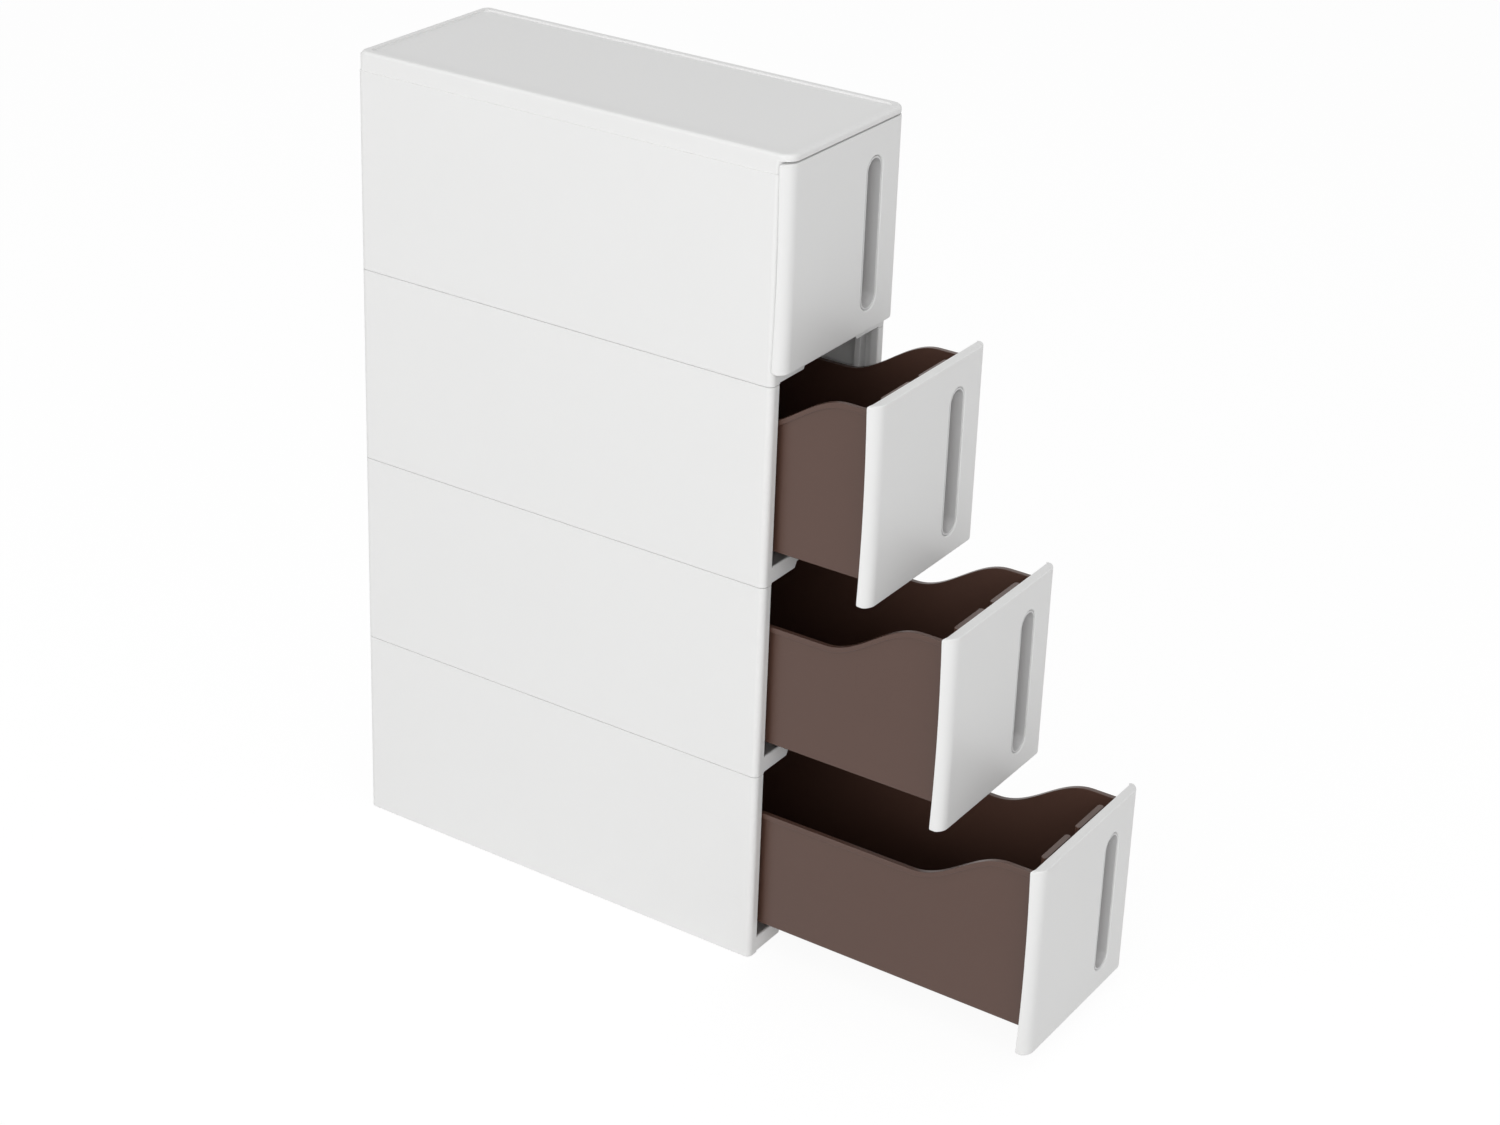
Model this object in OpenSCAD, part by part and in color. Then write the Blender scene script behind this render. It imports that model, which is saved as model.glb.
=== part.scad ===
// Plastic drawer tower: identical case tiers stacked under one cover, and in
// each tier a sliding drawer made of a tub, a snap-on front and a finger grip.
// Millimetres. +Z is up, the drawers slide out towards -Y, +X is to the right
// seen from the front, and the origin is the middle of the base.

/* [Tower] */
// Width of the case
tower_w = 185; // [170:1:205]
// Depth of the case, without the drawer fronts
case_d = 451; // [430:1:480]
// Height of one tier, from seam to seam
tier_h = 190; // [180:1:215]
// Number of tiers
tiers = 4; // [1:1:4]

/* [Drawers as they stand] */
// How far a drawer slides from closed to its stop
travel = 320; // [290:1:335]
// How far drawer 1, the lowest, stands open
open_1 = 280; // [0:1:290]
// How far drawer 2 stands open
open_2 = 180; // [0:1:290]
// How far drawer 3 stands open
open_3 = 95; // [0:1:290]
// How far drawer 4 stands open
open_4 = 0; // [0:1:290]

/* [Case tier] */
// Wall of the case
wall = 2.4; // [2:0.1:2.8]
// Radius of the upright corners of the case
case_r = 6; // [5.2:0.2:8]
// Width of the stile on each side of a drawer opening
stile_w = 12.5; // [11:0.5:15]
// Depth of the flange behind each stile
stile_return = 8; // [5:0.5:12]
// Lower edge of the front crossbar above the seam
bar_low = 2; // [1.5:0.5:3]
// Upper edge of the front crossbar above the seam
bar_top = 17; // [15:0.5:20]
// Underside of the floor above the seam
floor_z = 7.5; // [7:0.5:9]
// Chamfer round a drawer opening
opening_edge = 0.8; // [0.4:0.1:1.2]
// Height of the groove that shows as the seam between tiers
seam_h = 0.6; // [0.4:0.1:1]
// Depth of that groove
seam_in = 0.5; // [0.3:0.1:0.8]
// Distance of the crossbar's raised middle past the tub's tall tab
notch_gap = 4; // [2:0.5:6]
// Slanted ends of that raised middle
notch_slant = 3; // [1:0.5:6]

/* [Joint between tiers] */
// How far the locating lip stands above and below the seam
lip_rise = 4; // [2.5:0.5:6]
// Thickness of the locating lip
lip_t = 1.5; // [1.2:0.1:2]
// Gap between the lip and the wall around it
lip_clear = 0.3; // [0.2:0.05:0.5]
// Distance of the lip's front ends from the front of the case
lip_setback = 30; // [28:1:60]

/* [Slide rails] */
// Width of the raised step along each side wall
rail_w = 28; // [22:0.5:32]
// Top of the step above the seam
rail_top = 29.5; // [27:0.5:33]
// Distance of the step from the front of the case
rail_setback = 12; // [9:0.5:15]
// Height of the guide rib on the step
guide_h = 6; // [4:0.5:9]
// Thickness of the guide rib
guide_t = 2.2; // [1.6:0.1:2.4]
// Gap between the guide rib and the tub
guide_clear = 0.8; // [0.4:0.1:1.2]
// Gap between the tub's underside and the step
glide_clear = 0.3; // [0.25:0.05:0.5]
// Distance of the upright guide post from the front of the case
post_setback = 18; // [16:0.5:20]
// Thickness of the upright guide post
post_t = 6; // [4:0.5:8]

/* [Drawer stops] */
// Width of a stop block and of the foot that meets it
stop_w = 9; // [6:0.5:12]
// Gap between the stop block and the step beside it
stop_side = 2.5; // [1.5:0.5:4]
// Length of a stop block
stop_len = 10; // [6:1:16]
// How far the foot reaches down past the top of the block
stop_bite = 5; // [3:0.5:7]
// Gap between the block's top and the tub
stop_over = 4; // [3:0.5:5]
// Gap left between foot and block at full travel
stop_clear = 0.5; // [0.3:0.1:1]
// Length of the foot under the tub's back edge
foot_len = 12; // [8:1:16]

/* [Top cover] */
// How far the cover's sides stand in from the case
cover_in = 0.8; // [0.4:0.1:1.2]
// Thickness of the cover at its border
cover_t = 6; // [5:0.5:8]
// Radius of its upper edge
cover_edge = 3; // [2:0.5:4]
// Radius of its back corners
cover_back_r = 8; // [7:0.5:12]
// Width of the raised border
border_w = 7.4; // [5:0.2:10]
// Depth of the middle below the border
cover_sink = 1.8; // [1:0.2:2.6]
// Radius of the sunk middle's corners
sink_r = 6; // [4:0.5:9]
// Number of stiffening ribs under the cover
cover_ribs = 4; // [2:1:6]

/* [Tub] */
// Wall of the tub
tub_wall = 2.2; // [1.8:0.1:2.6]
// Radius of the tub's upright corners
tub_r = 5; // [4:0.5:8]
// Radius of the long lower edges
tub_edge = 2; // [1:0.5:3]
// Gap from the tub's back to the case's back wall
tub_back_gap = 11.6; // [8:0.2:16]
// How far the rim stands out from the tub
rim_out = 2.6; // [2:0.1:3.4]
// Height of the rim band
rim_h = 5; // [3.5:0.5:7]
// Gap between the rim and the sides of the opening
rim_clear = 1.4; // [0.8:0.1:2.2]
// Gap between the rim's crest and the crossbar above
crest_clear = 3; // [1.5:0.5:6]
// Length of the level crest behind the drawer front
crest_len = 30; // [20:1:40]
// Length over which the rim sweeps down
sweep_len = 95; // [70:1:120]
// How far the rim sweeps down
rim_dip = 41; // [30:1:55]
// Half the width of the tall tab on the back wall
tab_half = 36; // [25:1:42]
// Radius of that tab's upper corners
tab_r = 8; // [4:1:14]
// Gap between that tab and the floor of the tier above
tab_clear = 1.5; // [1:0.1:2.5]
// Gap between the two lugs behind the drawer front and the crossbar
lug_clear = 1; // [0.5:0.5:3]
// Height of the lugs above the ledge that carries them
lug_h = 12; // [8:1:16]
// Thickness of a lug
lug_t = 5.5; // [4:0.5:7]
// Length of a lug
lug_len = 47; // [38:1:52]
// Gap between the two lugs
lug_gap = 15; // [8:1:24]
// Gap between a lug and the tub's front wall
lug_set = 5; // [2:0.5:6]

/* [Drawer front] */
// Thickness of the drawer front
front_t = 9; // [8:0.5:12]
// Wall of the moulding
front_skin = 2.4; // [2:0.1:2.8]
// Gap between a closed front and the case
front_gap = 0.5; // [0.4:0.05:1]
// Lower edge of the front above the seam
front_low = 12; // [11:0.5:14]
// Gap between one front and the next
panel_gap = 2; // [1:0.5:3]
// Radius of the front's outer upright corners
front_r = 13; // [11:0.5:16]
// Radius of the front's corners seen from the front
face_r = 4; // [2:0.5:6]
// Chamfer on the upper and lower edges
front_edge = 0.8; // [0.4:0.1:1.2]
// Distance of the side edge behind the back plane at mid-height
tip_mid = 0.8; // [0.5:0.1:1.2]
// Radius of the side edge's long bow
tip_bow = 2600; // [2200:50:3200]
// Number of upright ribs inside the front on each side of the middle
front_ribs = 2; // [1:1:3]

/* [Snap hooks] */
// Width of a hook that holds the front to the tub
hook_w = 8; // [6:0.5:10]
// Thickness of a hook
hook_t = 2; // [1.6:0.1:2.6]
// Height of its barb
hook_barb = 1.2; // [0.8:0.1:1.6]
// Gap round a hook in the tub's front wall
hook_clear = 0.3; // [0.2:0.05:0.5]
// Distance of a hook from the side of the tub
hook_side = 9; // [8:0.5:12]
// Height of the lower hooks above the tub's floor
hook_low = 18; // [12:1:30]
// Distance of the upper hooks below the ledge
hook_high = 14; // [10:1:30]

/* [Finger grip] */
// Width of the slot in the drawer front
slot_w = 26; // [22:0.5:28]
// Distance of the slot's middle from the side of the front
slot_side = 49.5; // [48:0.5:56]
// Distance of the slot's upper end below the top of the front
slot_drop = 26.5; // [24:0.5:50]
// Chamfer round the slot
slot_edge = 1; // [0.5:0.1:1.4]
// Gap between the grip and the slot
grip_clear = 0.6; // [0.2:0.1:0.8]
// Wall of the grip
grip_wall = 1.8; // [1.4:0.1:2.2]
// Depth of the grip from front to back
grip_depth = 15; // [12:0.5:18]
// How far the grip stands in from the face
grip_set = 0.5; // [0.2:0.1:1]
// Width of the collar that holds the grip behind the face
collar_w = 2.5; // [1.5:0.1:3]
// Gap between the collar and the wall round it
collar_clear = 0.3; // [0.2:0.05:0.5]
// Thickness of that wall
collar_wall = 1.6; // [1.2:0.1:2]
// Depth of the finger pocket in the tub
pocket_d = 18; // [14:0.5:24]

/* [Hidden] */
$fn = 96;

white = [0.87, 0.87, 0.86];
brown = [0.30, 0.24, 0.21];
grey = [0.55, 0.55, 0.55];

through = 1;                                  // how far a cut runs past a face
sweep_steps = 24;                             // flats along the rim's sweep

rest_open = [open_1, open_2, open_3, open_4];

// Case
half_w = tower_w / 2;
in_half = half_w - wall;                      // inner face of a side wall
front_y = -case_d / 2;                        // front plane of the case
back_y = case_d / 2;
open_half = half_w - stile_w;                 // half the drawer opening
floor_top = floor_z + wall;
ceiling = tier_h + floor_z;                   // underside of the tier above
bar_under = tier_h + bar_low;                 // crossbar of the tier above
rail_in = in_half - rail_w;                   // inner face of the step
rail_y = front_y + rail_setback;              // front of the step
notch_half = tab_half + notch_gap;            // raised middle of the crossbar

// Tub
rim_half = open_half - rim_clear;
tub_half = rim_half - rim_out;
tub_y = front_y - front_gap;                  // front of the tub
tub_back = back_y - wall - tub_back_gap;
tub_z = rail_top + glide_clear;               // underside of the tub
tub_floor = tub_z + tub_wall;
rim_crest = bar_under - crest_clear;
rim_low = rim_crest - rim_dip;
lug_top = bar_under - lug_clear;
ledge_top = lug_top - lug_h;
ledge_back = tub_y + tub_wall + lug_set + lug_t;

// Stops
stop_x = rail_in - stop_side - stop_w;        // inner side of block and foot
stop_top = tub_z - stop_over;
foot_front = tub_back - foot_len;
foot_low = stop_top - stop_bite;
stop_back = foot_front - travel - stop_clear;

// Drawer front
face_y = tub_y - front_t;                     // face of the drawer front
front_top = tier_h + front_low - panel_gap;
front_mid = (front_low + front_top) / 2;
tray_half = half_w - front_r + front_skin;    // half the hollow behind the face
hook_x = tub_half - hook_side;
hook_end = tub_y + tub_wall + hook_clear;     // where the barb takes hold
hook_z = [tub_floor + hook_low, ledge_top - hook_high];

// Finger grip
slot_x = half_w - slot_side;                  // middle of the slot
slot_low = tub_floor + hook_clear - grip_clear;
slot_top = front_top - slot_drop;
sleeve_y = face_y + grip_set;
collar_y = face_y + front_skin;

// Plan of a box: front corners of radius rf at y0, back corners of rb at y1
module plan(half, y0, y1, rf, rb) {
    translate([-half, y0 + rf]) square([2 * half, y1 - y0 - rf - rb]);
    translate([rf - half, y0]) square([2 * (half - rf), 2 * rf]);
    translate([rb - half, y1 - 2 * rb]) square([2 * (half - rb), 2 * rb]);
    for (side = [-1, 1]) {
        translate([side * (half - rf), y0 + rf]) circle(rf);
        translate([side * (half - rb), y1 - rb]) circle(rb);
    }
}

// The same plan moved inwards by d, or outwards where d is negative
module case_plan(d = 0) {
    plan(half_w - d, front_y + d, back_y - d, case_r - d, case_r - d);
}

// Extrudes an outline drawn as [x, z] from y0 to y1
module along_y(y0, y1) {
    translate([0, y1, 0]) rotate([90, 0, 0]) linear_extrude(y1 - y0) children();
}

// Extrudes an outline drawn as [y, z] across the whole width, centred
module along_x(w) {
    rotate([90, 0, 90]) linear_extrude(w, center = true) children();
}

// Upright slot outline as [x, z]: width w, from z0 to z1, with round ends
module stadium(w, z0, z1) {
    translate([slot_x - w / 2, z0 + w / 2]) square([w, z1 - z0 - w]);
    for (z = [z0 + w / 2, z1 - w / 2]) translate([slot_x, z]) circle(w / 2);
}

// Slot outline grown by d all round
module slot_outline(d) {
    stadium(slot_w + 2 * d, slot_low - d, slot_top + d);
}

// Square bar along X, turned on its edge, that takes a chamfer c off an edge
module chamfer_x(w, c) {
    rotate([45, 0, 0]) cube([w, c * sqrt(2), c * sqrt(2)], center = true);
}

// --- Case -------------------------------------------------------------

// Lower front: open under the crossbar, higher in the middle so that the
// tall tab on a tub's back wall can pass when the drawer is lifted out
module under_bar() {
    polygon([
        [-open_half, -through], [open_half, -through],
        [open_half, bar_low], [notch_half + notch_slant, bar_low],
        [notch_half, floor_z], [-notch_half, floor_z],
        [-notch_half - notch_slant, bar_low], [-open_half, bar_low]
    ]);
}

module drawer_opening() {
    translate([-open_half, front_y - through, bar_top])
        cube([2 * open_half, wall + 2 * through, tier_h]);
    translate([0, front_y, bar_top]) chamfer_x(2 * open_half, opening_edge);
    for (side = [-1, 1])
        translate([side * open_half, front_y, bar_top + tier_h / 2])
            rotate([0, 0, 45])
                cube([opening_edge * sqrt(2), opening_edge * sqrt(2), tier_h],
                    center = true);
    along_y(front_y - through, front_y + wall + through) under_bar();
}

// Raised step that carries one side of the tub
module rail_block(side, grow, z0, z1) {
    intersection() {
        translate([side > 0 ? rail_in + grow : -half_w,
                rail_y + grow, z0])
            cube([half_w - rail_in - grow, case_d, z1 - z0]);
        translate([0, 0, z0]) linear_extrude(z1 - z0)
            case_plan(grow > 0 ? wall : wall / 2);
    }
}

module rail_furniture(side) {
    rib_in = tub_half + guide_clear;
    rib_x = side > 0 ? rib_in : -rib_in - guide_t;
    translate([rib_x, rail_y, rail_top - wall / 2])
        cube([guide_t, back_y - 2 * wall - rail_y, guide_h + wall / 2]);
    // upright post that keeps the rim off the side wall
    post_w = in_half + wall / 2 - open_half;
    translate([side > 0 ? open_half : -open_half - post_w,
            front_y + post_setback, rail_top - wall / 2])
        cube([post_w, post_t, tier_h - rail_top + wall / 2]);
    // block that the tub's foot meets at full travel
    translate([side > 0 ? stop_x : -stop_x - stop_w,
            stop_back - stop_len, floor_top - wall / 2])
        cube([stop_w, stop_len, stop_top - floor_top + wall / 2]);
}

// Flange behind a stile
module stile_flange(side) {
    translate([side > 0 ? open_half : -open_half - wall,
            front_y + wall / 2, floor_z + wall / 2])
        cube([wall, stile_return - wall / 2, tier_h - floor_z - wall / 2]);
}

// Lip on the sides and back that locates the tier above
module locating_lip() {
    difference() {
        union() {
            translate([0, 0, tier_h - lip_rise])
                linear_extrude(2 * lip_rise) case_plan(wall + lip_clear);
            translate([0, 0, tier_h - lip_rise])
                linear_extrude(lip_rise) case_plan(wall / 2);
        }
        translate([0, 0, tier_h - lip_rise - through])
            linear_extrude(2 * (lip_rise + through))
                case_plan(wall + lip_clear + lip_t);
        translate([-half_w, front_y - through, tier_h - lip_rise - through])
            cube([tower_w, lip_setback + through, 2 * (lip_rise + through)]);
    }
}

module case_tier(level) {
    color(white) translate([0, 0, (level - 1) * tier_h]) {
        difference() {
            union() {
                linear_extrude(tier_h) case_plan(seam_in);
                translate([0, 0, seam_h]) linear_extrude(tier_h - seam_h)
                    case_plan();
            }
            // below the floor and above it
            translate([0, 0, -through])
                linear_extrude(floor_z + through) case_plan(wall);
            difference() {
                translate([0, 0, floor_top]) linear_extrude(tier_h)
                    case_plan(wall);
                for (side = [-1, 1]) rail_block(side, 0, floor_z, rail_top);
            }
            // the steps are hollow from below
            for (side = [-1, 1])
                rail_block(side, wall, floor_z - through, rail_top - wall);
            drawer_opening();
        }
        for (side = [-1, 1]) {
            rail_furniture(side);
            stile_flange(side);
        }
        locating_lip();
    }
}

// --- Top cover --------------------------------------------------------

cover_half = half_w - cover_in;
cover_back = back_y - cover_in;
cover_z = tiers * tier_h + front_low;         // underside of the slab
cover_top = cover_z + cover_t;

// Section across the slab, from -reach to reach, its upper edges rounded
module slab_section(reach) {
    e = cover_edge;
    translate([-reach, 0]) square([2 * reach, cover_t - e]);
    translate([e - reach, 0]) square([2 * (reach - e), cover_t]);
    for (side = [-1, 1])
        translate([side * (reach - e), cover_t - e]) intersection() {
            circle(e);
            translate([side > 0 ? 0 : -e, 0]) square([e, e]);
        }
}

// Round corner of the slab: the right half of its section, turned
module slab_corner(r) {
    rotate_extrude() intersection() {
        slab_section(r);
        square([r, cover_t]);
    }
}

module cover_slab() {
    along_y(face_y + front_r, cover_back - cover_back_r)
        slab_section(cover_half);
    slab_end(face_y + front_r, front_r);
    slab_end(cover_back - cover_back_r, cover_back_r);
}

// One end of the slab, between and including its two corners of radius r
module slab_end(y, r) {
    translate([0, y, 0]) {
        rotate([90, 0, 90])
            linear_extrude(2 * (cover_half - r), center = true)
                slab_section(r);
        for (side = [-1, 1])
            translate([side * (cover_half - r), 0, 0]) slab_corner(r);
    }
}

module top_cover() {
    skirt_z = tiers * tier_h;
    roof_low = skirt_z + floor_z;             // ceiling over the top tub
    color(white) {
        difference() {
            translate([0, 0, cover_z]) cover_slab();
            translate([0, 0, cover_top - cover_sink])
                linear_extrude(cover_t)
                    plan(cover_half - border_w, face_y + border_w,
                        cover_back - border_w, sink_r, sink_r);
        }
        // skirt that stands on the top tier
        difference() {
            translate([0, 0, skirt_z])
                linear_extrude(cover_z + cover_t / 2 - skirt_z)
                    case_plan(cover_in);
            translate([0, 0, skirt_z - through])
                linear_extrude(cover_z - skirt_z + through)
                    case_plan(wall);
            translate([0, 0, skirt_z])
                along_y(front_y - through, front_y + wall + through)
                    under_bar();
        }
        // ribs that hold the tub's back tab down when it is pulled right out
        pitch = (case_d - 2 * wall) / (cover_ribs + 1);
        for (i = [1:cover_ribs])
            translate([-in_half - wall / 4, front_y + wall + i * pitch,
                    roof_low])
                cube([2 * in_half + wall / 2, wall, cover_z - roof_low
                    + cover_t / 2]);
    }
}

// --- Drawer -----------------------------------------------------------

function sweep_z(t) = rim_low + rim_dip * (1 + cos(180 * t)) / 2;

// Rim line as [y, z] points, moved down by d
function rim_line(d) = concat(
    [[tub_y, rim_crest - d]],
    [for (i = [0:sweep_steps])
        [tub_y + crest_len + sweep_len * i / sweep_steps,
            sweep_z(i / sweep_steps) - d]],
    [[tub_back + rim_out, rim_low - d]]
);

function reversed(list) = [for (i = [len(list) - 1:-1:0]) list[i]];

module tub_side() {
    polygon(concat([[tub_y, tub_z]], rim_line(0), [[tub_back + rim_out, tub_z]]));
}

module rim_band() {
    polygon(concat(rim_line(0), reversed(rim_line(rim_h))));
}

// Section of the tub as [x, z], with rounded lower edges
module tub_section() {
    translate([-tub_half, tub_z + tub_edge])
        square([2 * tub_half, rim_crest - tub_z]);
    translate([tub_edge - tub_half, tub_z])
        square([2 * (tub_half - tub_edge), rim_crest - tub_z]);
    for (side = [-1, 1])
        translate([side * (tub_half - tub_edge), tub_z + tub_edge])
            circle(tub_edge);
}

module tub_body() {
    tall = rim_crest + through;
    intersection() {
        linear_extrude(tall) plan(tub_half, tub_y, tub_back, tub_r, tub_r);
        along_x(tower_w) tub_side();
        along_y(tub_y - through, tub_back + through) tub_section();
    }
    intersection() {
        linear_extrude(tall)
            plan(rim_half, tub_y, tub_back + rim_out,
                tub_r + rim_out, tub_r + rim_out);
        along_x(tower_w) rim_band();
    }
}

// Tall tab on the back wall that keeps a drawer from tipping out
module back_tab() {
    top = ceiling - tab_clear;
    along_y(tub_back - tub_wall, tub_back) {
        translate([-tab_half, tub_z + tub_wall / 2])
            square([2 * tab_half, top - tab_r - tub_z - tub_wall / 2]);
        translate([tab_r - tab_half, top - 2 * tab_r])
            square([2 * (tab_half - tab_r), 2 * tab_r]);
        for (side = [-1, 1])
            translate([side * (tab_half - tab_r), top - tab_r]) circle(tab_r);
    }
}

module foot(side) {
    translate([side > 0 ? stop_x : -stop_x - stop_w, foot_front, foot_low])
        cube([stop_w, foot_len, tub_z + tub_wall / 2 - foot_low]);
}

// Thick lug behind the drawer front, round at both ends
module lug(side) {
    r = lug_t / 2;
    x0 = lug_gap / 2 + r;
    x1 = lug_gap / 2 + lug_len - r;
    y = ledge_back - r;
    translate([0, 0, ledge_top - tub_wall]) linear_extrude(lug_h + tub_wall) {
        translate([side > 0 ? x0 : -x1, y - r]) square([x1 - x0, lug_t]);
        for (x = [x0, x1]) translate([side * x, y]) circle(r);
    }
}

module hook_window(side, z) {
    translate([side * hook_x - hook_w / 2 - hook_clear, tub_y - through,
            z - hook_clear])
        cube([hook_w + 2 * hook_clear, tub_wall + 2 * through,
            hook_t + hook_barb + 2 * hook_clear]);
}

module drawer_tub(level) {
    color(brown) in_tier(level) difference() {
        union() {
            difference() {
                tub_body();
                translate([0, 0, tub_floor]) linear_extrude(tier_h)
                    plan(tub_half - tub_wall, tub_y + tub_wall,
                        tub_back - tub_wall, tub_r - tub_wall,
                        tub_r - tub_wall);
                // the front wall is lower than the side walls
                translate([tub_wall - tub_half, tub_y - through, ledge_top])
                    cube([2 * (tub_half - tub_wall),
                        tub_wall + tub_r, tier_h]);
            }
            // ledge across the top of the front wall, and its two lugs
            translate([tub_wall / 2 - tub_half, tub_y + tub_wall / 2,
                    ledge_top - tub_wall])
                cube([2 * tub_half - tub_wall, ledge_back - tub_y
                    - tub_wall / 2, tub_wall]);
            for (side = [-1, 1]) {
                lug(side);
                foot(side);
            }
            back_tab();
            // walls of the finger pocket
            intersection() {
                along_y(tub_y, tub_y + pocket_d + tub_wall)
                    slot_outline(hook_clear - grip_clear + tub_wall);
                translate([-tub_half, tub_y, tub_z])
                    cube([2 * tub_half, 2 * pocket_d, tier_h]);
            }
        }
        along_y(tub_y - through, tub_y + pocket_d)
            slot_outline(hook_clear - grip_clear);
        for (side = [-1, 1], z = hook_z) hook_window(side, z);
    }
}

// Places a drawer part in its tier, drawn out as it stands at rest
module in_tier(level) {
    translate([0, -rest_open[level - 1], (level - 1) * tier_h]) children();
}

// Plan of the front: a slab whose ends wrap round the case's corners
module front_plan() {
    difference() {
        plan(half_w, face_y, front_y + 3 * case_r, front_r, case_r);
        case_plan(-front_gap);
    }
}

// The front seen from the front, with rounded corners
module front_face() {
    translate([-half_w, front_low + face_r])
        square([tower_w, front_top - front_low - 2 * face_r]);
    translate([face_r - half_w, front_low])
        square([tower_w - 2 * face_r, front_top - front_low]);
    for (x = [face_r - half_w, half_w - face_r],
            z = [front_low + face_r, front_top - face_r])
        translate([x, z]) circle(face_r);
}

// Chamfer all along an upper or lower edge, round the corners as well
module front_edge_cut() {
    c = front_edge;
    translate([0, face_y, 0]) chamfer_x(2 * (half_w - front_r), c);
    for (side = [-1, 1])
        translate([side * (half_w - front_r), face_y + front_r, 0])
            intersection() {
                rotate_extrude()
                    translate([front_r, 0]) rotate(45)
                        square(c * sqrt(2), center = true);
                // the ring's outer quarter is the corner
                translate([side > 0 ? 0 : -2 * front_r, -2 * front_r, -c])
                    cube([2 * front_r, 2 * front_r, 2 * c]);
            }
}

module hook(side, z) {
    reach = hook_end + hook_t - collar_y;
    translate([side * hook_x - hook_w / 2, collar_y - front_skin / 2, z]) {
        cube([hook_w, reach + front_skin / 2, hook_t]);
        translate([0, reach + front_skin / 2 - hook_t, 0])
            cube([hook_w, hook_t, hook_t + hook_barb]);
    }
}

module front_rib(x) {
    translate([x - front_skin / 2, collar_y - front_skin / 2,
            front_low + front_skin / 2])
        cube([front_skin, tub_y - collar_y + front_skin / 2,
            front_top - front_low - front_skin]);
}

module drawer_front(level) {
    rib_pitch = slot_x / (front_ribs + 0.5);
    ring = collar_w + collar_clear - grip_clear;
    color(white) in_tier(level) difference() {
        union() {
            difference() {
                intersection() {
                    translate([0, 0, front_low])
                        linear_extrude(front_top - front_low) front_plan();
                    along_y(face_y - through, front_y + 3 * case_r)
                        front_face();
                }
                // hollow behind the face
                translate([-tray_half, collar_y, front_low + front_skin])
                    cube([2 * tray_half, front_t,
                        front_top - front_low - 2 * front_skin]);
                // side edges bow forwards at mid-height
                translate([0, tub_y + tip_mid + tip_bow, front_mid])
                    rotate([0, 90, 0])
                        cylinder(r = tip_bow, h = 2 * tower_w,
                            center = true, $fn = 720);
                for (z = [front_low, front_top])
                    translate([0, 0, z]) front_edge_cut();
            }
            for (i = [0:front_ribs]) front_rib(-i * rib_pitch);
            along_y(collar_y - front_skin / 2, tub_y)
                slot_outline(ring + collar_wall);
            for (side = [-1, 1], z = hook_z) hook(side, z);
        }
        along_y(collar_y, tub_y + through) slot_outline(ring);
        along_y(face_y - through, collar_y + through) slot_outline(0);
        slot_edge_cut();
    }
}

// Chamfer round the mouth of the slot
module slot_edge_cut() {
    r = slot_w / 2;
    c = slot_edge;
    for (side = [-1, 1])
        translate([slot_x + side * r, face_y, (slot_low + slot_top) / 2])
            rotate([0, 0, 45])
                cube([c * sqrt(2), c * sqrt(2), slot_top - slot_low - slot_w],
                    center = true);
    for (z = [slot_low + r, slot_top - r])
        translate([slot_x, face_y + c, z]) rotate([90, 0, 0])
            cylinder(r1 = r, r2 = r + c + through, h = c + through);
}

module finger_grip(level) {
    color(grey) in_tier(level) difference() {
        union() {
            along_y(sleeve_y, sleeve_y + grip_depth) slot_outline(-grip_clear);
            along_y(collar_y, tub_y) slot_outline(collar_w - grip_clear);
        }
        along_y(sleeve_y - through, sleeve_y + grip_depth + through)
            slot_outline(-grip_clear - grip_wall);
    }
}

top_cover();
for (i = [1:tiers]) {
    case_tier(i);
    drawer_tub(i);
    drawer_front(i);
    finger_grip(i);
}
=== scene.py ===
import math

import bmesh
import bpy
from mathutils import Matrix, Vector

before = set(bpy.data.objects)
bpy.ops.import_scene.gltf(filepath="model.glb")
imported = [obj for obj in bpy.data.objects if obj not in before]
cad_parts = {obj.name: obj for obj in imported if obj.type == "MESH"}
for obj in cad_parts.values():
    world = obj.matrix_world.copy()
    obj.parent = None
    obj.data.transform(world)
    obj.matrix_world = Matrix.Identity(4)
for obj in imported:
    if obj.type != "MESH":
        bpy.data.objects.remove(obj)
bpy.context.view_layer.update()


# --- Camera and stage -------------------------------------------------------
# The tower stands on a pale studio floor under large soft lamps. The camera
# looks down on it from the front left, so that the long side, the cover and
# all four fronts show.

CAMERA_PLACE = Vector((-2.0648, -1.4737, 1.5749))
CAMERA_YAW = math.radians(57.24)       # turned from +Y towards +X
CAMERA_DOWN = math.radians(23.89)      # tipped down from the level
CAMERA_ROLL = math.radians(2.15)
CAMERA_LENS = 72.37                    # millimetres
CAMERA_SENSOR = 36                     # its width, in millimetres
CAMERA_SHIFT_Y = -0.095                # share of the picture's width
CAMERA_NEAR = 0.05                     # nothing nearer is drawn
CAMERA_FAR = 60                        # nor anything further off

ahead = Vector((math.cos(CAMERA_DOWN) * math.sin(CAMERA_YAW),
                math.cos(CAMERA_DOWN) * math.cos(CAMERA_YAW),
                -math.sin(CAMERA_DOWN)))
level_right = Vector((math.cos(CAMERA_YAW), -math.sin(CAMERA_YAW), 0))
level_up = level_right.cross(ahead)
right = math.cos(CAMERA_ROLL) * level_right + math.sin(CAMERA_ROLL) * level_up
up = right.cross(ahead)

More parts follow.
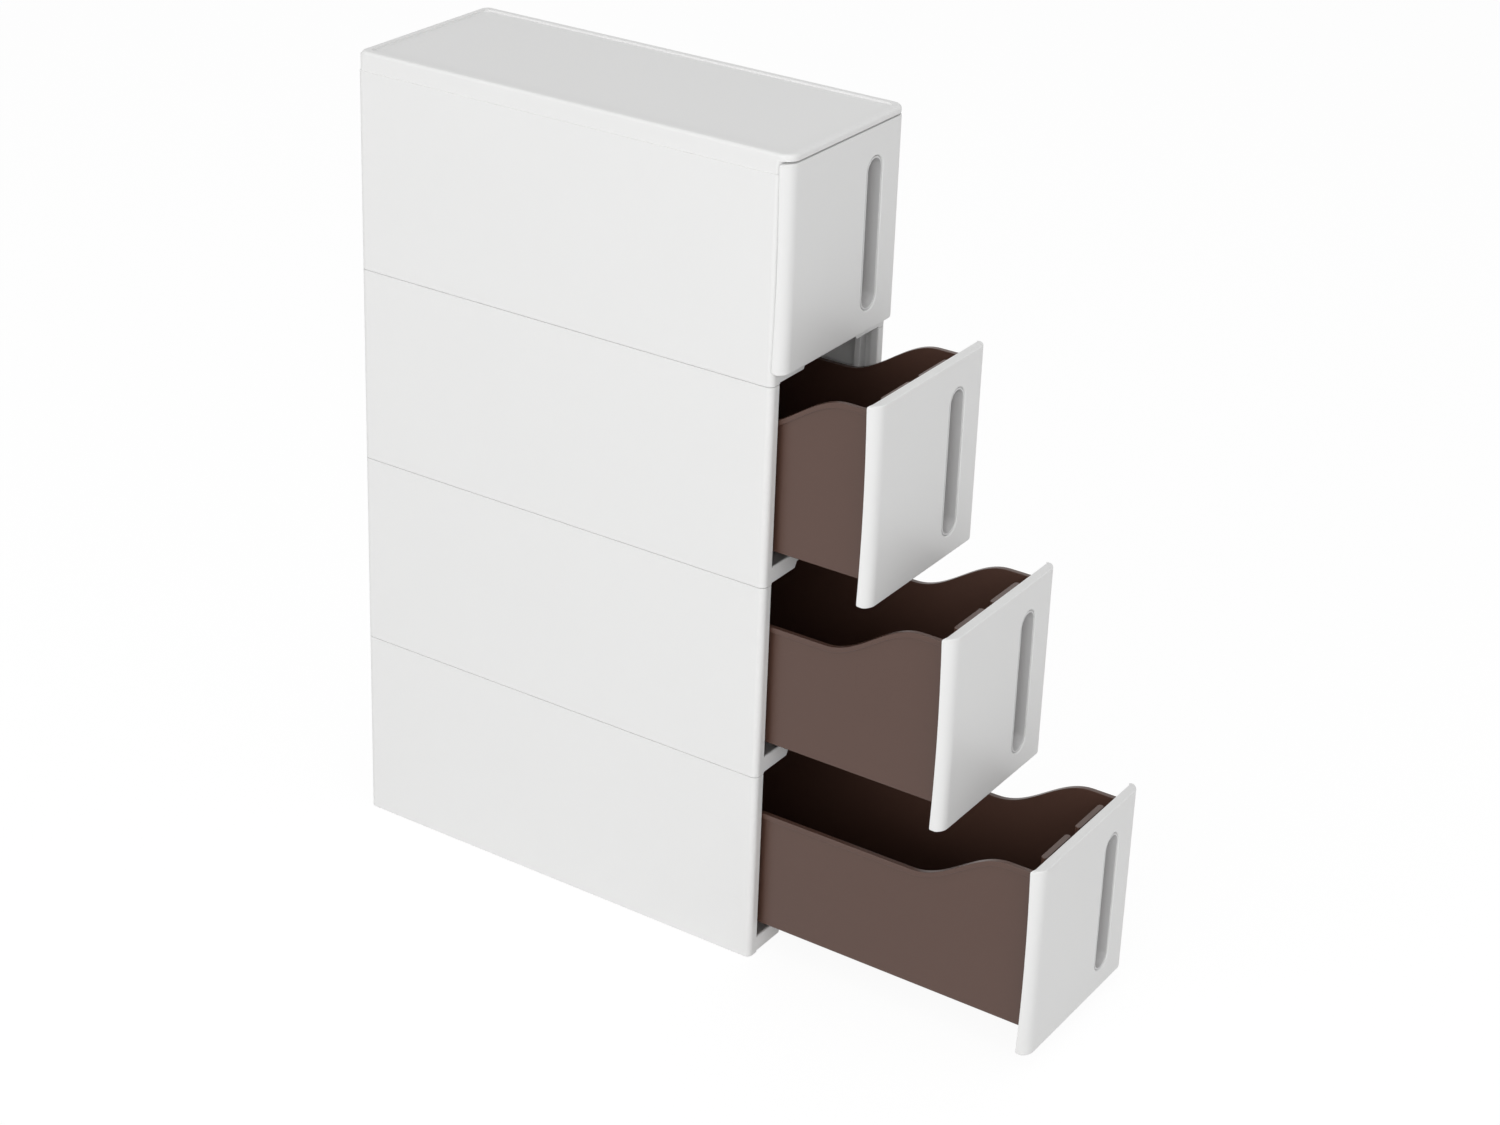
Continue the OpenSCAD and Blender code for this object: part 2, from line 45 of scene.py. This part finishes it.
camera = bpy.data.objects.new("camera", bpy.data.cameras.new("camera"))
bpy.context.scene.collection.objects.link(camera)
camera.data.lens = CAMERA_LENS
camera.data.sensor_width = CAMERA_SENSOR
camera.data.shift_y = CAMERA_SHIFT_Y
camera.data.clip_start = CAMERA_NEAR
camera.data.clip_end = CAMERA_FAR
camera.matrix_world = Matrix((
    (right.x, up.x, -ahead.x, CAMERA_PLACE.x),
    (right.y, up.y, -ahead.y, CAMERA_PLACE.y),
    (right.z, up.z, -ahead.z, CAMERA_PLACE.z),
    (0, 0, 0, 1)))
bpy.context.scene.camera = camera
bpy.context.scene.view_settings.view_transform = "Standard"


class Shade:
    """A shader socket with arithmetic: an expression adds its Math nodes."""

    def __init__(self, tree, socket):
        self.tree = tree
        self.socket = socket

    def output(self, name):
        """Another output of the same node."""
        return Shade(self.tree, self.socket.node.outputs[name])

    def math(self, operation, first, second):
        return node(self.tree, "Math", {"operation": operation},
                    {0: first, 1: second})

    def __add__(self, other):
        return self.math("ADD", self, other)

    def __radd__(self, other):
        return self.math("ADD", other, self)

    def __sub__(self, other):
        return self.math("SUBTRACT", self, other)

    def __rsub__(self, other):
        return self.math("SUBTRACT", other, self)

    def __mul__(self, other):
        return self.math("MULTIPLY", self, other)

    def __rmul__(self, other):
        return self.math("MULTIPLY", other, self)

    def maximum(self, other):
        return self.math("MAXIMUM", self, other)


def node(tree, kind, settings, sockets):
    """Adds a node: its settings first, then what feeds its sockets."""
    made = tree.nodes.new("ShaderNode" + kind)
    for key, value in settings.items():
        setattr(made, key, value)
    for key, value in sockets.items():
        if isinstance(value, Shade):
            tree.links.new(value.socket, made.inputs[key])
        else:
            made.inputs[key].default_value = value
    return Shade(tree, made.outputs[0]) if made.outputs else None


def seen_directly(tree):
    """1 for what the camera, a reflection or a clear wall shows, else 0."""
    path = node(tree, "LightPath", {}, {})
    return path.output("Is Camera Ray").maximum(
        path.output("Is Glossy Ray")).maximum(
        path.output("Is Transmission Ray"))


WHITE = (1, 1, 1, 1)
STUDIO_FILL = 0.45                     # level of the light from all round
FLOOR_REACH = 9                        # half the floor's side, in metres
FLOOR_TONE = (0.71, 0.71, 0.71, 1)     # its paint, as it lights the tower
FLOOR_WHITE = 0.86                     # share of the floor that is plain white
FLOOR_GLOW = 1.08                      # lifts that share to the backdrop's white

world = bpy.data.worlds.new("studio")
bpy.context.scene.world = world
world.use_nodes = True
tree = world.node_tree
tree.nodes.clear()
studio_light = node(tree, "Background", {}, {
    "Color": WHITE,
    "Strength": seen_directly(tree) * (1 - STUDIO_FILL) + STUDIO_FILL})
node(tree, "OutputWorld", {}, {"Surface": studio_light})

shape = bmesh.new()
bmesh.ops.create_grid(shape, x_segments=1, y_segments=1, size=FLOOR_REACH)
floor_mesh = bpy.data.meshes.new("floor")
shape.to_mesh(floor_mesh)
shape.free()
floor = bpy.data.objects.new("floor", floor_mesh)
bpy.context.scene.collection.objects.link(floor)
floor_paint = bpy.data.materials.new("floor_paint")
floor_paint.use_nodes = True
tree = floor_paint.node_tree
tree.nodes.clear()
matt = node(tree, "BsdfDiffuse", {}, {"Color": FLOOR_TONE})
white = node(tree, "Emission", {}, {"Color": WHITE, "Strength": FLOOR_GLOW})
both = node(tree, "MixShader", {}, {
    0: seen_directly(tree) * FLOOR_WHITE, 1: matt, 2: white})
node(tree, "OutputMaterial", {}, {"Surface": both})
floor_mesh.materials.append(floor_paint)

# Soft lamps: place, what it points at, size in metres, strength in watts
LAMPS = {
    "key_softbox": ((-5.6, -2.6, 2.6), (0, -0.1, 0.4), 4.0, 80),
    "side_softbox": ((-6.5, 1.2, 1.8), (0, -0.1, 0.4), 4.0, 135),
    "front_softbox": ((-1.4, -3.3, 1.3), (0, -0.2, 0.4), 2.4, 24),
    "top_softbox": ((0.2, -0.2, 3.2), (0, 0, 0.4), 2.0, 12),
}
for name, (place, target, size, watts) in LAMPS.items():
    lamp = bpy.data.lights.new(name, "AREA")
    lamp.size = size
    lamp.energy = watts
    holder = bpy.data.objects.new(name, lamp)
    bpy.context.scene.collection.objects.link(holder)
    holder.location = place
    holder.rotation_euler = (Vector(target) - Vector(place)).to_track_quat(
        "-Z", "Y").to_euler()


# --- Case tiers -------------------------------------------------------------
# Four like open-fronted boxes stacked seam on seam, injection moulded in a
# white plastic with a fine matt skin. The lip on top of each pushes into the
# one above, and no screws are used.

MIDDLE = 0.5                           # what a noise varies about
GRAIN_DEPTH = 0.0002                   # metres from dip to crest, at most
GRAIN_GLOSS = 0.06                     # how far the grain sways the gloss
CLOUDS = 9.0                           # clouds in a metre
CLOUD_GLOSS = 0.05                     # how far the clouds sway the gloss
DRAW_MARKS = 260.0                     # marks side by side in a metre
MARK_LENGTH = (1, 1, 0.03)             # a smaller Z draws them out longer


def plastic(name, colour, roughness, ior, grain, grain_size, cloud, marks):
    """Moulded plastic: a fine grain in the skin, faint clouds in the tone and
    upright draw marks in the gloss, left as the mould opened. Grain, cloud
    and marks say how strong each is, and the grain's size is in metres."""
    paint = bpy.data.materials.new(name)
    paint.use_nodes = True
    tree = paint.node_tree
    shader = tree.nodes["Principled BSDF"]
    place = node(tree, "TexCoord", {}, {}).output("Object")
    skin = node(tree, "TexNoise", {}, {
        "Vector": place, "Scale": 1 / grain_size, "Detail": 3.0,
        "Roughness": 0.6})
    wide = node(tree, "TexNoise", {}, {
        "Vector": place, "Scale": CLOUDS, "Detail": 2.0, "Roughness": 0.5})
    drawn_out = node(tree, "VectorMath", {"operation": "MULTIPLY"}, {
        0: place, 1: MARK_LENGTH})
    drawn = node(tree, "TexNoise", {}, {
        "Vector": drawn_out, "Scale": DRAW_MARKS, "Detail": 2.0,
        "Roughness": 0.5})
    tint = node(tree, "VectorMath", {"operation": "SCALE"}, {
        "Vector": colour, "Scale": (wide - MIDDLE) * cloud + 1.0})
    bump = node(tree, "Bump", {}, {
        "Strength": grain, "Distance": GRAIN_DEPTH, "Height": skin})
    gloss = ((skin - MIDDLE) * GRAIN_GLOSS + (wide - MIDDLE) * CLOUD_GLOSS
             + (drawn - MIDDLE) * marks + roughness)
    tree.links.new(tint.socket, shader.inputs["Base Color"])
    tree.links.new(gloss.socket, shader.inputs["Roughness"])
    tree.links.new(bump.socket, shader.inputs["Normal"])
    shader.inputs["IOR"].default_value = ior
    return paint


WELD_GAP = 0.00001                     # corners of loose faces this near join
LEVEL_WITHIN = math.radians(0.3)       # faces this nearly level become one
EDGE_ABOVE = math.radians(32)          # edges bent more than this get a radius
EDGE_STEPS = 2                         # faces across that radius


def dress(name, paint, edge, clamped=False):
    """A CAD piece in its finish, its moulded edges broken by a small radius.
    Clamped, the radius shrinks to what the piece's narrowest face allows."""
    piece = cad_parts[name]
    piece.data.materials.clear()
    piece.data.materials.append(paint)
    piece.data.polygons.foreach_set(
        "use_smooth", [True] * len(piece.data.polygons))
    weld = piece.modifiers.new("weld", "WELD")
    weld.merge_threshold = WELD_GAP
    planar = piece.modifiers.new("planar", "DECIMATE")
    planar.decimate_type = "DISSOLVE"
    planar.angle_limit = LEVEL_WITHIN
    bevel = piece.modifiers.new("edges", "BEVEL")
    bevel.width = edge
    bevel.segments = EDGE_STEPS
    bevel.limit_method = "ANGLE"
    bevel.angle_limit = EDGE_ABOVE
    bevel.use_clamp_overlap = clamped
    flats = piece.modifiers.new("flats", "WEIGHTED_NORMAL")
    flats.keep_sharp = True


def levels(kind):
    """The names of one kind of piece, from the lowest tier up."""
    return sorted(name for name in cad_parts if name.startswith(kind))


MOULDED_WHITE = (0.83, 0.83, 0.825)
POLYPROPYLENE_IOR = 1.49
FINE_GRAIN = 0.0009                    # metres

case_white = plastic("case_white", MOULDED_WHITE, roughness=0.42,
                     ior=POLYPROPYLENE_IOR, grain=0.10,
                     grain_size=FINE_GRAIN, cloud=0.012, marks=0.03)
for name in levels("case_tier"):
    dress(name, case_white, edge=0.0004)


# --- Top cover --------------------------------------------------------------
# The flat lid of the tower, moulded in the same white plastic, with a sunk
# middle inside a raised border. Its skirt pushes down over the lip of the
# uppermost case.

cover_white = plastic("cover_white", MOULDED_WHITE, roughness=0.44,
                      ior=POLYPROPYLENE_IOR, grain=0.12,
                      grain_size=FINE_GRAIN, cloud=0.016, marks=0.0)
dress("top_cover", cover_white, edge=0.0005, clamped=True)


# --- Drawer tubs ------------------------------------------------------------
# Deep one-piece tubs with a sweeping rim, moulded in a dark brown plastic.
# The mould is polished, so they have a soft gloss with faint draw marks. They
# rest loose on the steps of their tiers.

tub_brown = plastic("tub_brown", (0.092, 0.047, 0.034), roughness=0.30,
                    ior=1.50, grain=0.05, grain_size=0.0011, cloud=0.05,
                    marks=0.03)
for name in levels("drawer_tub"):
    dress(name, tub_brown, edge=0.0004)


# --- Drawer fronts ----------------------------------------------------------
# White moulded shells that snap onto the tubs with four hooks and wrap round
# the case's corners. Their skin is a little smoother than that of the case.

front_white = plastic("front_white", MOULDED_WHITE, roughness=0.38,
                      ior=POLYPROPYLENE_IOR, grain=0.08,
                      grain_size=FINE_GRAIN, cloud=0.012, marks=0.03)
for name in levels("drawer_front"):
    dress(name, front_white, edge=0.0003)


# --- Finger grips -----------------------------------------------------------
# Grey sleeves that line the finger slots, moulded with a matt, spark-eroded
# grain. A collar behind holds each one between its front and its tub.

grip_grey = plastic("grip_grey", (0.70, 0.70, 0.70), roughness=0.55,
                    ior=POLYPROPYLENE_IOR, grain=0.25, grain_size=0.0006,
                    cloud=0.03, marks=0.0)
for name in levels("finger_grip"):
    dress(name, grip_grey, edge=0.0005)
